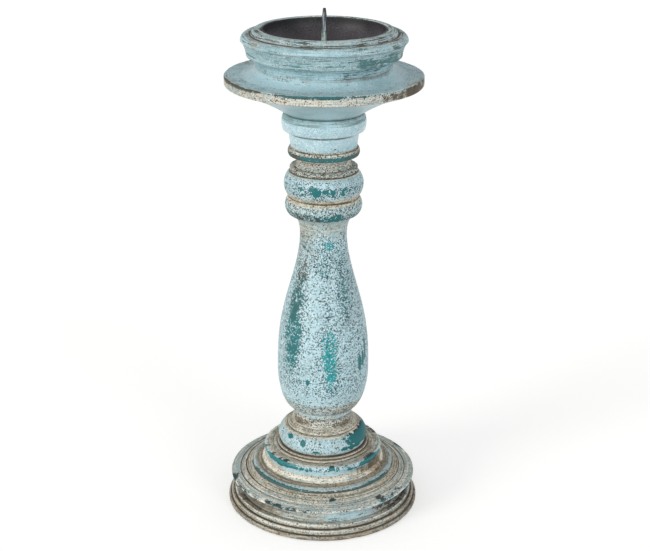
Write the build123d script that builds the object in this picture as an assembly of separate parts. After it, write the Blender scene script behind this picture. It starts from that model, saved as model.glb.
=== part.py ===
from build123d import *
import os
from math import cos, pi, radians, sin, sqrt, tan

# A turned and painted wooden candle stand with a lift-out steel pan and pricket.
# Millimetres, +Z up, the stand's axis on Z and the underside of its felt on Z = 0.

# Felt disc, glued into a shallow recess under the base
felt_radius = 54.0
felt_thickness = 1.6
felt_proud = 0.4
felt_clearance = 0.3

# Base plinth: three stepped bands, each with a rounded upper edge
plinth_projection = 2.0
plinth_foot_height = 2.7
plinth_middle_height = 3.4
plinth_upper_height = 3.3
plinth_lower_step = 2.0
plinth_upper_step = 2.3
band_round = 0.8

# Base moulding, from the hollow above the plinth up to the ring under the bead
scotia_height = 9.4
scotia_foot_inset = 6.0
scotia_depth = 1.7
moulding_edge_height = 2.0
moulding_edge_bulge = 0.7
outer_band_width = 6.5
outer_band_rise = 1.3
middle_band_width = 4.0
middle_band_rise = 1.8
inner_band_width = 4.6
inner_band_rise = 2.6
groove_width = 0.9
groove_depth = 0.7
fillet_width = 2.8
fillet_step = 1.4
fillet_rise = 1.0
cove_width = 5.7
cove_height = 8.0
cove_hollow = 1.5
ring_projection = 9.5
ring_height = 3.6
ring_bulge = 0.6

# Base bead, threaded on the stem's lower tenon
bead_radius = 30.1
bead_foot_projection = 3.2
bead_foot_height = 1.3
bead_step_projection = 1.1
bead_step_height = 1.0
bead_crevice_depth = 1.1
bead_crevice_height = 1.0
bead_height = 12.2
bead_crown_height = 5.4
bead_shoulder_depth = 5.5
collar_groove_depth = 0.5
collar_height = 3.9
collar_slope_width = 3.9
collar_slope_drop = 3.2

# Stem: a short fillet and ring, the vase, and two half-round beads
stem_fillet_radius = 19.7
stem_fillet_height = 6.0
stem_ring_projection = 0.5
stem_ring_height = 3.0
vase_foot_radius = 19.5
belly_radius = 30.65
belly_height = 28.8
waist_radius = 15.5
waist_height = 95.5
waist_flare_width = 6.8
waist_flare_height = 13.2
vase_fullness = 1.32
stem_groove_radius = 22.6
lower_bead_height = 12.0
lower_bead_bulge = 2.6
upper_bead_height = 16.5
upper_bead_bulge = 3.3
stem_cap_radius = 22.0
stem_cap_height = 3.2

# Capital, threaded on the stem's upper tenon
capital_neck_radius = 18.6
capital_neck_hollow = 1.2
capital_neck_height = 7.4
capital_ring_radius = 23.3
capital_ring_height = 5.1
capital_waist_radius = 21.4
capital_waist_flare = 1.4
capital_waist_height = 10.3
capital_bead_radius = 27.2
capital_bead_height = 12.2
capital_bead_lip = 1.4
capital_bead_shoulder = 1.6

# Candle head: the drip plate with the cup above it, one turning
throat_inset = 0.9
plate_radius = 63.0
plate_edge_height = 6.5
soffit_height = 18.0
soffit_hollow = 1.7
cup_flare_width = 14.5
cup_flare_height = 5.6
cup_waist_radius = 43.0
cup_cove_height = 6.3
cup_foot_radius = 48.9
cup_radius = 52.5
cup_swell = 0.6
cup_bead_height = 3.9
cup_bead_bulge = 1.5
lip_radius = 46.6
lip_height = 3.4
lip_shoulder_inset = 2.2
lip_shoulder_drop = 0.4
lip_groove_depth = 0.5

# Joints of the turned pieces
lower_tenon_radius = 12.0
lower_socket_depth = 16.0
upper_tenon_radius = 10.0
upper_socket_depth = 18.5
tenon_clearance = 0.15
tenon_end_gap = 0.5

# Hexagon coach screws: one up into the stem through the base, one down into it through the head
stem_screw_radius = 4.0
stem_screw_flats = 13.0
stem_screw_head_height = 5.3
stem_screw_grip = 40.0
stem_washer_radius = 12.0
stem_washer_thickness = 2.0
base_web_thickness = 6.5
head_screw_radius = 3.0
head_screw_flats = 10.0
head_screw_head_height = 4.0
head_screw_grip = 34.0
head_washer_radius = 9.0
head_washer_thickness = 1.6
head_web_thickness = 6.2
screw_hole_clearance = 0.3
thread_clearance = 0.05
screw_point_length = 5.0
pilot_spare = 2.0
washer_pocket_clearance = 1.5

# Countersunk wood screws that hold the plinth to the moulding
plinth_screw_count = 4
plinth_screw_circle_radius = 40.0
plinth_screw_radius = 2.0
plinth_screw_head_radius = 4.0
plinth_screw_length = 22.0
plinth_screw_slot_width = 1.0
plinth_screw_slot_depth = 0.8

# Steel pan, a spun dish that stands on the floor of the cup's recess
pan_radius = 39.1
pan_sheet = 0.9
pan_depth = 13.5
pan_corner_radius = 11.0
pan_clearance = 0.4
pan_sink = 0.15

# Pricket: a tapered spike with a flange on the pan's floor and a threaded tail through it
pricket_flange_radius = 5.0
pricket_flange_height = 1.6
pricket_foot_radius = 2.0
pricket_top_radius = 1.45
pricket_height = 26.05
pricket_point_height = 3.8
pricket_point_radius = 0.95
pricket_tail_radius = 2.5
pricket_tail_end = 1.0
pricket_hole_clearance = 0.2
pricket_washer_radius = 6.0
pricket_washer_thickness = 1.0
pricket_nut_flats = 8.0
pricket_nut_height = 4.0
nut_headroom = 2.05

# Radii that follow, from the bead outwards to the foot
ring_radius = bead_radius + ring_projection
cove_radius = ring_radius + cove_width
fillet_radius = cove_radius + fillet_width
inner_groove_radius = fillet_radius + inner_band_width
outer_groove_radius = inner_groove_radius + middle_band_width
moulding_radius = outer_groove_radius + outer_band_width
foot_radius = moulding_radius + plinth_projection
lower_bore_radius = lower_tenon_radius + tenon_clearance
upper_bore_radius = upper_tenon_radius + tenon_clearance
base_pocket_radius = stem_washer_radius + washer_pocket_clearance
head_pocket_radius = head_washer_radius + washer_pocket_clearance
recess_radius = pan_radius + pan_clearance

# Levels of the base, from the floor up
plinth_bottom = felt_proud
foot_top = plinth_bottom + plinth_foot_height
middle_top = foot_top + plinth_middle_height
plinth_top = middle_top + plinth_upper_height
scotia_top = plinth_top + scotia_height
edge_top = scotia_top + moulding_edge_height
outer_groove_level = edge_top + outer_band_rise
inner_groove_level = outer_groove_level + middle_band_rise
fillet_foot = inner_groove_level + inner_band_rise
fillet_edge = fillet_foot + fillet_step
cove_foot = fillet_edge + fillet_rise
cove_top = cove_foot + cove_height
moulding_top = cove_top + ring_height
bead_foot_top = moulding_top + bead_foot_height
bead_step_top = bead_foot_top + bead_step_height
bead_bottom = bead_step_top + bead_crevice_height
bead_top = bead_bottom + bead_height
base_top = bead_top + collar_height

# Levels of the stem and the capital
stem_fillet_top = base_top + stem_fillet_height
vase_bottom = stem_fillet_top + stem_ring_height
belly_level = vase_bottom + belly_height
waist_level = belly_level + waist_height
vase_top = waist_level + waist_flare_height
lower_bead_top = vase_top + lower_bead_height
upper_bead_top = lower_bead_top + upper_bead_height
stem_top = upper_bead_top + stem_cap_height
capital_ring_bottom = stem_top + capital_neck_height
capital_ring_top = capital_ring_bottom + capital_ring_height
capital_waist_top = capital_ring_top + capital_waist_height
capital_top = capital_waist_top + capital_bead_height

# Levels of the head, worked up from what its pocket and its pan have to hold
plate_bottom = capital_top + soffit_height
plate_top = plate_bottom + plate_edge_height
upper_socket_top = capital_top + upper_socket_depth
head_pocket_floor = upper_socket_top + head_web_thickness
head_screw_top = head_pocket_floor + head_washer_thickness + head_screw_head_height
pricket_tail_level = head_screw_top + nut_headroom
pricket_nut_bottom = pricket_tail_level + pricket_tail_end
pricket_nut_top = pricket_nut_bottom + pricket_nut_height
pan_bottom = pricket_nut_top + pricket_washer_thickness
pan_floor = pan_bottom + pan_sheet
pan_rim = pan_floor + pan_depth
lip_inner_level = pan_rim + pan_sink
cup_bead_top = lip_inner_level - lip_height
cup_bead_bottom = cup_bead_top - cup_bead_height
cup_waist = plate_top + cup_flare_height
cup_foot = cup_waist + cup_cove_height

# Levels of the screws and tenons
base_web_top = moulding_top - lower_socket_depth
base_web_bottom = base_web_top - base_web_thickness
lower_tenon_bottom = base_web_top + tenon_end_gap
upper_tenon_top = upper_socket_top - tenon_end_gap
felt_recess_top = felt_thickness


def turned(start, *moves):
    """Solid of revolution about Z from an outline of (radius, level) points.

    From start, a tuple is a straight run to that point, [via, end] is an arc through via, and a longer
    list is a smooth curve through its points. The outline closes itself.
    """
    edges = []
    here = start
    for move in (*moves, start):
        if isinstance(move, list):
            curve = ThreePointArc if len(move) == 2 else Spline
            edges.append(curve(here, *move))
            here = move[-1]
        elif move != here:
            edges.append(Line(here, move))
            here = move
    return revolve(Plane.XZ * make_face(edges), Axis.Z)


def bulge(low, high, amount):
    """Arc from low to high whose middle stands out by amount, or is hollowed where amount is negative."""
    crown = (max(low[0], high[0]) if amount > 0 else min(low[0], high[0])) + amount
    return [(crown, (low[1] + high[1]) / 2), high]


def rounded_band(radius, low, high):
    """A straight band from low to high with its upper edge rounded."""
    back = band_round * (1 - sqrt(0.5))
    return (
        (radius, low),
        (radius, high - band_round),
        [(radius - back, high - back), (radius - band_round, high)],
    )


def groove(radius, level):
    """A fine V groove cut straight down into a sloping top, crossed from the outside in."""
    return (
        (radius + groove_width / 2, level),
        (radius, level - groove_depth),
        (radius - groove_width / 2, level),
    )


def vase_curve():
    """Points of the vase from its foot to the bead above it.

    A quarter ellipse swells from the foot to the belly. A half cosine wave, held full near the belly by
    vase_fullness, falls from the belly to the waist. A quarter ellipse flares out again above the waist.
    """
    points = []
    for share in (0.02, 0.08, 0.2, 0.4, 0.6, 0.8):
        width = sqrt(1 - (1 - share) ** 2)
        points.append((vase_foot_radius + (belly_radius - vase_foot_radius) * width,
                       vase_bottom + belly_height * share))
    for step in range(9):
        share = step / 8
        fall = (1 + cos(pi * share ** vase_fullness)) / 2
        points.append((waist_radius + (belly_radius - waist_radius) * fall,
                       belly_level + waist_height * share))
    for share in (0.3, 0.55, 0.75, 0.9, 0.98):
        flare = 1 - sqrt(1 - share ** 2)
        points.append((waist_radius + waist_flare_width * flare, waist_level + waist_flare_height * share))
    return points


def cup_flare():
    """Points of the quarter ellipse from the drip plate's top in to the waist under the cup."""
    points = []
    for angle in (15, 30, 45, 60, 75, 90):
        points.append((cup_waist_radius + cup_flare_width * (1 - sin(radians(angle))),
                       cup_waist - cup_flare_height * cos(radians(angle))))
    return points


def coach_screw(radius, flats, head_height, length):
    """Hexagon-headed wood screw on Z: the head below Z = 0, the pointed shank above it."""
    shank = turned(
        (0, 0),
        (radius, 0),
        (radius, length - screw_point_length),
        (0, length),
    )
    hexagon = RegularPolygon(flats / 2, 6, major_radius=False)
    head = extrude(Plane.XY.offset(-head_height) * hexagon, head_height)
    corner = flats / sqrt(3)
    crown = turned(
        (0, -head_height),
        (flats / 2, -head_height),
        (corner, -head_height + (corner - flats / 2) * tan(radians(30))),
        (corner, 0),
        (0, 0),
    )
    return shank + (head & crown)


def felt_pad():
    return turned(
        (0, 0),
        (felt_radius, 0),
        (felt_radius, felt_thickness),
        (0, felt_thickness),
    )


def plinth_screw_places():
    """One placement for each plinth screw, with Z = 0 on the face that the felt covers."""
    ring = PolarLocations(plinth_screw_circle_radius, plinth_screw_count)
    return [Pos(0, 0, felt_recess_top) * place for place in ring]


def countersunk(radius, head_radius, length):
    """A countersunk screw's body on Z, with the flat of its head on Z = 0 and a plain shank above."""
    return turned(
        (0, 0),
        (head_radius, 0),
        (radius, head_radius - radius),
        (radius, length),
        (0, length),
    )


def plinth_screws():
    slot = Box(3 * plinth_screw_head_radius, plinth_screw_slot_width, 2 * plinth_screw_slot_depth)
    screw = countersunk(plinth_screw_radius, plinth_screw_head_radius, plinth_screw_length) - slot
    return Compound(children=[place * screw for place in plinth_screw_places()])


def plinth_screw_holes():
    """The holes that the plinth screws sit in, a thread clearance wider and longer than the screws."""
    hole = countersunk(
        plinth_screw_radius + thread_clearance,
        plinth_screw_head_radius + thread_clearance,
        plinth_screw_length + pilot_spare,
    )
    return [place * hole for place in plinth_screw_places()]


def base_plinth():
    middle_radius = foot_radius - plinth_lower_step
    upper_radius = middle_radius - plinth_upper_step
    felt_recess_radius = felt_radius + felt_clearance
    board = turned(
        (base_pocket_radius, felt_recess_top),
        (felt_recess_radius, felt_recess_top),
        (felt_recess_radius, plinth_bottom),
        *rounded_band(foot_radius, plinth_bottom, foot_top),
        *rounded_band(middle_radius, foot_top, middle_top),
        *rounded_band(upper_radius, middle_top, plinth_top),
        (base_pocket_radius, plinth_top),
    )
    return board - plinth_screw_holes()


def base_moulding():
    scotia_foot = (moulding_radius - scotia_foot_inset, plinth_top)
    edge_low = (moulding_radius - moulding_edge_bulge, scotia_top)
    edge_high = (moulding_radius - moulding_edge_bulge, edge_top)
    cove_low = (cove_radius, cove_foot)
    cove_high = (ring_radius, cove_top)
    cove_mid = (ring_radius + cove_hollow, cove_foot + cove_hollow)
    ring_low = (ring_radius, cove_top)
    ring_high = (ring_radius - ring_bulge, moulding_top)
    board = turned(
        (base_pocket_radius, plinth_top),
        scotia_foot,
        bulge(scotia_foot, edge_low, -scotia_depth),
        bulge(edge_low, edge_high, moulding_edge_bulge),
        *groove(outer_groove_radius, outer_groove_level),
        *groove(inner_groove_radius, inner_groove_level),
        (fillet_radius, fillet_foot),
        (fillet_radius, fillet_edge),
        cove_low,
        [cove_mid, cove_high],
        bulge(ring_low, ring_high, ring_bulge),
        (lower_bore_radius, moulding_top),
        (lower_bore_radius, base_web_top),
        (stem_screw_radius + screw_hole_clearance, base_web_top),
        (stem_screw_radius + screw_hole_clearance, base_web_bottom),
        (base_pocket_radius, base_web_bottom),
    )
    return board - plinth_screw_holes()


def base_bead():
    foot = bead_radius + bead_foot_projection
    step = bead_radius + bead_step_projection
    low = (bead_radius - bead_crevice_depth, bead_bottom)
    high = (bead_radius - bead_shoulder_depth, bead_top)
    collar_radius = high[0] - collar_groove_depth
    return turned(
        (lower_bore_radius, moulding_top),
        (foot, moulding_top),
        (foot, bead_foot_top),
        (step, bead_foot_top),
        (step, bead_step_top),
        (low[0], bead_step_top),
        low,
        [(bead_radius, bead_bottom + bead_crown_height), high],
        (collar_radius, bead_top),
        (collar_radius, base_top - collar_slope_drop),
        (collar_radius - collar_slope_width, base_top),
        (lower_bore_radius, base_top),
    )


def stem():
    ring = stem_fillet_radius + stem_ring_projection
    lower_start = (stem_groove_radius, vase_top)
    lower_end = (stem_groove_radius, lower_bead_top)
    upper_end = (stem_groove_radius, upper_bead_top)
    baluster = turned(
        (0, lower_tenon_bottom),
        (lower_tenon_radius, lower_tenon_bottom),
        (lower_tenon_radius, base_top),
        (stem_fillet_radius, base_top),
        (stem_fillet_radius, stem_fillet_top),
        (ring, stem_fillet_top),
        (ring, vase_bottom),
        (vase_foot_radius, vase_bottom),
        vase_curve(),
        lower_start,
        bulge(lower_start, lower_end, lower_bead_bulge),
        bulge(lower_end, upper_end, upper_bead_bulge),
        (stem_cap_radius, upper_bead_top),
        (stem_cap_radius, stem_top),
        (upper_tenon_radius, stem_top),
        (upper_tenon_radius, upper_tenon_top),
        (0, upper_tenon_top),
    )
    lower_pilot = Pos(0, 0, lower_tenon_bottom) * Cylinder(
        stem_screw_radius + thread_clearance,
        stem_screw_grip + pilot_spare,
        align=(Align.CENTER, Align.CENTER, Align.MIN),
    )
    upper_pilot = Pos(0, 0, upper_tenon_top) * Cylinder(
        head_screw_radius + thread_clearance,
        head_screw_grip + pilot_spare,
        align=(Align.CENTER, Align.CENTER, Align.MAX),
    )
    return baluster - lower_pilot - upper_pilot


def capital():
    neck_low = (capital_neck_radius, stem_top)
    neck_high = (capital_waist_radius, capital_ring_bottom)
    ring_low = (capital_ring_radius - band_round, capital_ring_bottom)
    ring_high = (capital_ring_radius - band_round, capital_ring_top)
    waist_low = (capital_waist_radius, capital_ring_top)
    waist_high = (capital_waist_radius + capital_waist_flare, capital_waist_top)
    lip = (capital_bead_radius - band_round, capital_waist_top + capital_bead_lip)
    shoulder = (capital_bead_radius - capital_bead_shoulder, capital_top)
    return turned(
        (upper_bore_radius, stem_top),
        neck_low,
        bulge(neck_low, neck_high, -capital_neck_hollow),
        ring_low,
        bulge(ring_low, ring_high, band_round),
        waist_low,
        waist_high,
        lip,
        bulge(lip, shoulder, band_round),
        (upper_bore_radius, capital_top),
    )


def candle_head():
    throat = (capital_bead_radius - capital_bead_shoulder - throat_inset, capital_top)
    soffit_end = (plate_radius - band_round, plate_bottom)
    soffit_mid = ((throat[0] + soffit_end[0]) / 2, (capital_top + plate_bottom) / 2 + soffit_hollow)
    cove_high = (cup_foot_radius, cup_foot)
    cove_mid = (
        cup_foot_radius - (cup_foot_radius - cup_waist_radius) * sin(radians(60)),
        cup_foot - cup_cove_height * cos(radians(60)),
    )
    cup_low = (cup_radius - cup_swell, cup_bead_bottom)
    cup_mid = ((cove_high[0] + cup_low[0]) / 2 - cup_swell, (cup_foot + cup_bead_bottom) / 2)
    bead_low = (cup_radius, cup_bead_bottom)
    bead_high = (lip_radius, cup_bead_top)
    bead_mid = (
        (cup_radius + lip_radius) / 2 + cup_bead_bulge,
        (cup_bead_bottom + cup_bead_top) / 2 + cup_bead_bulge,
    )
    lip_low = (lip_radius - lip_groove_depth, cup_bead_top)
    lip_high = (recess_radius, lip_inner_level)
    lip_mid = (lip_low[0] - lip_shoulder_inset, lip_inner_level - lip_shoulder_drop)
    return turned(
        (upper_bore_radius, capital_top),
        throat,
        [soffit_mid, soffit_end],
        *rounded_band(plate_radius, plate_bottom + band_round, plate_top),
        (cup_waist_radius + cup_flare_width, plate_top),
        cup_flare(),
        [cove_mid, cove_high],
        [cup_mid, cup_low],
        bead_low,
        [bead_mid, bead_high],
        lip_low,
        [lip_mid, lip_high],
        (recess_radius, pan_bottom),
        (head_pocket_radius, pan_bottom),
        (head_pocket_radius, head_pocket_floor),
        (head_screw_radius + screw_hole_clearance, head_pocket_floor),
        (head_screw_radius + screw_hole_clearance, upper_socket_top),
        (upper_bore_radius, upper_socket_top),
    )


def stem_screw():
    seat = base_web_bottom - stem_washer_thickness
    length = lower_tenon_bottom + stem_screw_grip - seat
    return Pos(0, 0, seat) * coach_screw(stem_screw_radius, stem_screw_flats, stem_screw_head_height, length)


def head_screw():
    seat = head_pocket_floor + head_washer_thickness
    length = seat - (upper_tenon_top - head_screw_grip)
    screw = coach_screw(head_screw_radius, head_screw_flats, head_screw_head_height, length)
    return Pos(0, 0, seat) * Rot(180, 0, 0) * screw


def flat_washer(radius, hole_radius, bottom, thickness):
    return turned(
        (hole_radius, bottom),
        (radius, bottom),
        (radius, bottom + thickness),
        (hole_radius, bottom + thickness),
    )


def stem_screw_washer():
    return flat_washer(
        stem_washer_radius,
        stem_screw_radius + screw_hole_clearance,
        base_web_bottom - stem_washer_thickness,
        stem_washer_thickness,
    )


def head_screw_washer():
    return flat_washer(
        head_washer_radius,
        head_screw_radius + screw_hole_clearance,
        head_pocket_floor,
        head_washer_thickness,
    )


def drip_pan():
    """A spun dish of even sheet: an upright wall and a wide quarter-round into the flat floor."""
    inner = pan_corner_radius
    outer = pan_corner_radius + pan_sheet
    floor_radius = pan_radius - outer
    centre = (floor_radius, pan_floor + pan_corner_radius)
    slant = sin(radians(45))
    hole = pricket_tail_radius + pricket_hole_clearance
    return turned(
        (hole, pan_bottom),
        (floor_radius, pan_bottom),
        [(centre[0] + outer * slant, centre[1] - outer * slant), (centre[0] + outer, centre[1])],
        (pan_radius, pan_rim),
        (pan_radius - pan_sheet, pan_rim),
        (centre[0] + inner, centre[1]),
        [(centre[0] + inner * slant, centre[1] - inner * slant), (floor_radius, pan_floor)],
        (hole, pan_floor),
    )


def pricket():
    flange_top = pan_floor + pricket_flange_height
    tip = pan_floor + pricket_height
    return turned(
        (0, pricket_tail_level),
        (pricket_tail_radius, pricket_tail_level),
        (pricket_tail_radius, pan_floor),
        (pricket_flange_radius, pan_floor),
        (pricket_foot_radius, flange_top),
        (pricket_top_radius, tip - pricket_point_height),
        (pricket_point_radius, tip),
        (0, tip),
    )


def pricket_washer():
    return flat_washer(
        pricket_washer_radius,
        pricket_tail_radius + pricket_hole_clearance,
        pricket_nut_top,
        pricket_washer_thickness,
    )


def pricket_nut():
    hexagon = RegularPolygon(pricket_nut_flats / 2, 6, major_radius=False)
    thread = Circle(pricket_tail_radius + thread_clearance)
    return extrude(Plane.XY.offset(pricket_nut_bottom) * (hexagon - thread), pricket_nut_height)


pieces = (
    felt_pad,
    base_plinth,
    plinth_screws,
    base_moulding,
    base_bead,
    stem,
    stem_screw,
    stem_screw_washer,
    capital,
    candle_head,
    head_screw,
    head_screw_washer,
    drip_pan,
    pricket,
    pricket_washer,
    pricket_nut,
)

os.makedirs("parts", exist_ok=True)
for piece in pieces:
    export_step(piece(), f"parts/{piece.__name__}.step")
print(f"foot radius {foot_radius:.2f}, lip {lip_inner_level:.2f}, tip {pan_floor + pricket_height:.2f}")
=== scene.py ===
# %% [markdown]
# # A turned and painted candle stand
# The stand is six pieces of turned wood, glued and screwed one on another, with a loose steel pan and its
# spike in the cup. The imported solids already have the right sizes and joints. What they lack is the life of
# the real surface: edges softened by paint, tool marks, chips, and a pale blue coat that is rubbed through
# to teal, to cream gesso and to bare wood. So each step below measures a solid, makes a finer surface from
# what it measured, and paints that surface with nodes.

# %% Load the frame
from functools import partial
from math import pi, radians

import bpy
import numpy as np
from mathutils import Matrix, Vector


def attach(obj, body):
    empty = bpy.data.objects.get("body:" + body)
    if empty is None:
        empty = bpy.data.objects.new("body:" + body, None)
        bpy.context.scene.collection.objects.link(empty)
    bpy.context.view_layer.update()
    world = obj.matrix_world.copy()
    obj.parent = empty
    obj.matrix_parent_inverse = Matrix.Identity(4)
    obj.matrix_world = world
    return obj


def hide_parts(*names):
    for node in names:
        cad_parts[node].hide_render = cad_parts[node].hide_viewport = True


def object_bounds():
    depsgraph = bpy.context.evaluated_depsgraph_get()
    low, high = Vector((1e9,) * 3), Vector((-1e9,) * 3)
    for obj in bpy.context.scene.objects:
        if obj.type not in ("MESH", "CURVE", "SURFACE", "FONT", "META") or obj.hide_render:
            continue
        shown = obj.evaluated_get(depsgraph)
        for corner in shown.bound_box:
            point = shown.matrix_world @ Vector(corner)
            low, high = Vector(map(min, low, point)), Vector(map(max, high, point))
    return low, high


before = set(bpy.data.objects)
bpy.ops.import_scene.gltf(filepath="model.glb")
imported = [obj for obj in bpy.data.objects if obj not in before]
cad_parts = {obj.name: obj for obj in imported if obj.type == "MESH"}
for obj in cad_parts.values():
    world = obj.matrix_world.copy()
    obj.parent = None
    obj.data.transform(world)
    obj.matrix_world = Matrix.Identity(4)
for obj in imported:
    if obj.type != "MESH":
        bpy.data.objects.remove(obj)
cad_box = [list(corner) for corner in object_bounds()]
MM = 0.001
print("solids loaded:", len(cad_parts), "box in mm:", np.round(np.array(cad_box) / MM, 1).tolist())

# %% [markdown]
# ## Reading an outline from a solid
# A turned piece is one outline carried round an axis. The outline could be typed in again as a list of
# points, but then it would have to be kept in step with the solids by hand. It is safer to measure it. The
# corners of a turned face lie on level rings, and every triangle joins two neighbouring rings, so the rings
# can be put in order by following the triangles from the bottom of the piece round to where they started.

# %% Read a turned outline
RING_CORNERS = 24
SAME_RING = 0.005 * MM
# Shifts the cells that the corners are sorted into, so that round sizes don't lie on the border of two
CELL_SHIFT = 0.3


def mesh_arrays(mesh):
    """The corners and the triangles of a mesh, as arrays."""
    mesh.calc_loop_triangles()
    corners = np.empty(3 * len(mesh.vertices), dtype=np.float32)
    mesh.vertices.foreach_get("co", corners)
    triangles = np.empty(3 * len(mesh.loop_triangles), dtype=np.int32)
    mesh.loop_triangles.foreach_get("vertices", triangles)
    return corners.reshape(-1, 3).astype(float), triangles.reshape(-1, 3)


def walk(start, here, there, rings):
    """Rings met from start, going each time to the nearest ring that a link leads to, until none is new."""
    nearest_first = np.lexsort((np.linalg.norm(rings[there] - rings[here], axis=1), here))
    origins, picks = np.unique(here[nearest_first], return_index=True)
    following = dict(zip(origins.tolist(), there[nearest_first][picks].tolist()))
    path = [int(start)]
    while following.get(path[-1], path[0]) not in path:
        path.append(following[path[-1]])
    return path


def outline(node):
    """Half section of a turned node: (radius, level) points in order, with the wood on their left.

    Corners that share a radius and a level make a ring, and a ring with few corners belongs to a cross hole
    and is left out. A triangle's normal, turned a quarter turn in the half section, points along the
    outline, so it tells which of two joined rings comes next. The walk starts at the lowest ring, the outer
    one of two. An outline that is cut by the axis is walked both ways, and gets a point on the axis at both
    ends. The second result says whether the outline is a closed loop.
    """
    corners, triangles = mesh_arrays(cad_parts[node].data)
    section = np.column_stack([np.hypot(corners[:, 0], corners[:, 1]), corners[:, 2]])
    cells = np.floor(section / SAME_RING + CELL_SHIFT)
    _, a_corner, ring_of, corner_count = np.unique(
        cells, axis=0, return_index=True, return_inverse=True, return_counts=True)
    rings, ring_of = section[a_corner], ring_of.ravel()
    whole = corner_count >= RING_CORNERS

    a, b, c = corners[triangles].transpose(1, 0, 2)
    normal = np.cross(b - a, c - a)
    outwards = (a + b + c)[:, :2]
    outwards /= np.linalg.norm(outwards, axis=1, keepdims=True) + 1e-12
    along = np.column_stack([-normal[:, 2], (normal[:, :2] * outwards).sum(axis=1)])

    first = ring_of[triangles].ravel()
    second = ring_of[np.roll(triangles, -1, axis=1)].ravel()
    ahead = ((rings[second] - rings[first]) * np.repeat(along, 3, axis=0)).sum(axis=1) > 0
    joined = whole[first] & whole[second] & (first != second)
    here = np.where(ahead, first, second)[joined]
    there = np.where(ahead, second, first)[joined]
    lowest_outermost = here[np.lexsort((-rings[here, 0], rings[here, 1]))[0]]
    path = walk(lowest_outermost, here, there, rings)
    closed = lowest_outermost in there[here == path[-1]]
    points = rings[path]
    if not closed:
        before = walk(lowest_outermost, there, here, rings)
        points = np.vstack([rings[before[:0:-1]], points])
        on_axis = points[[0, -1]] * (0, 1)
        points = np.vstack([on_axis[:1], points, on_axis[1:]])
    return points, closed


for node in ("base_moulding", "stem", "candle_head"):
    points, closed = outline(node)
    print(node, "outline:", len(points), "points, closed" if closed else "points, open at the axis")

# %% [markdown]
# ## From a sharp outline to a worn one
# The solids have knife-sharp corners. On real wood, sanding and three coats of paint round every edge. A
# Bevel modifier could do that, but it would bevel joints and grooves alike and leave nothing to measure. The
# outline is therefore resampled at an even, fine step and averaged along its length, which rounds corners
# and leaves straight runs where they were. How far the outline lies inside or outside a wider average of
# itself tells which places are hollows, where brown glaze stays behind, and which are proud edges, where a
# hand rubs the paint off.

# %% Resample and soften the outline
STEP = 0.1 * MM
EDGE_SOFTNESS = 0.28 * MM
WEAR_REACH = 0.9 * MM
LONG_RUN = 10 * MM
PLAIN_ROW = 6 * MM
FINEST_ROW, WIDEST_ROW = 0.2 * MM, 0.7 * MM
ROW_TURN = 0.25
# How far in mm a place is off the wider average before it counts as an edge or a hollow, and how much
# further off it has to be to count in full
EDGE_STARTS, HOLLOW_STARTS, WEAR_RANGE = 0.07, 0.06, 0.2


def soften(values, closed, width, odd=False):
    """Gaussian average along the outline. Past the axis, an open outline goes on as its mirror image."""
    reach = int(3 * width / STEP) + 1
    weights = np.exp(-0.5 * (np.arange(-reach, reach + 1) * STEP / width) ** 2)
    if closed:
        longer = np.pad(values, reach, mode="wrap")
    else:
        longer = np.pad(values, reach, mode="reflect", reflect_type="odd" if odd else "even")
    return np.convolve(longer, weights / weights.sum(), mode="valid")


def measured_outline(node, softness=EDGE_SOFTNESS, widest_row=WIDEST_ROW, plain_row=PLAIN_ROW):
    """The outline of a node at an even step, softened, with what the wear needs to know about it.

    Gives a dict of arrays: radius, level, the outward normal (out, up), edge and hollow from 0 to 1, along
    (distance from the start) and rows, the samples that become rows of the mesh. Rows are a quarter radian
    of turn apart, at least FINEST_ROW and at most widest_row, and plain_row apart on long straight runs,
    which on the wooden pieces are the faces hidden in the joints.
    """
    points, closed = outline(node)
    loop = np.vstack([points, points[:1]]) if closed else points
    run = np.linalg.norm(np.diff(loop, axis=0), axis=1)
    distance = np.concatenate([[0], np.cumsum(run)])
    along = np.linspace(0, distance[-1], int(distance[-1] / STEP) + 1)
    along = along[:-1] if closed else along
    straight = run[np.clip(np.searchsorted(distance, along, "right") - 1, 0, len(run) - 1)]
    radius = soften(np.interp(along, distance, loop[:, 0]), closed, softness, odd=True)
    level = soften(np.interp(along, distance, loop[:, 1]), closed, softness)

    slope_r, slope_z = np.gradient(radius), np.gradient(level)
    speed = np.hypot(slope_r, slope_z) + 1e-12
    heading = np.unwrap(np.arctan2(slope_z, slope_r))
    turn = np.gradient(heading, STEP)
    smooth_radius = soften(radius, closed, WEAR_REACH, odd=True)
    smooth_level = soften(level, closed, WEAR_REACH)
    out, up = slope_z / speed, -slope_r / speed
    sunk = ((smooth_radius - radius) * out + (smooth_level - level) * up) / MM
    spacing = np.clip(ROW_TURN / (np.abs(soften(turn, closed, softness)) + 1e-6), FINEST_ROW, widest_row)
    spacing = np.where(straight > LONG_RUN, np.maximum(spacing, plain_row), spacing)
    row_number = np.floor(np.cumsum(STEP / spacing))
    rows = np.flatnonzero(np.diff(row_number, prepend=-1))
    if not closed:
        rows = np.union1d(rows, [0, len(along) - 1])
    return {
        "closed": closed,
        "along": along,
        "radius": radius,
        "level": level,
        "out": out,
        "up": up,
        "edge": np.clip((-sunk - EDGE_STARTS) / WEAR_RANGE, 0, 1),
        "hollow": np.clip((sunk - HOLLOW_STARTS) / WEAR_RANGE, 0, 1),
        "rows": rows,
    }


for node in ("base_plinth", "stem", "candle_head"):
    line = measured_outline(node)
    print(f"{node}: {line['along'][-1] / MM:.0f} mm of outline, {len(line['rows'])} rows")

# %% [markdown]
# ## Noise that closes round the axis
# Tool marks, wobble and chips need randomness that has no seam where the turning meets itself. Values on a
# lattice whose last column is followed by its first give that. One generator with a fixed seed per use
# makes the same stand on every run.

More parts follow.
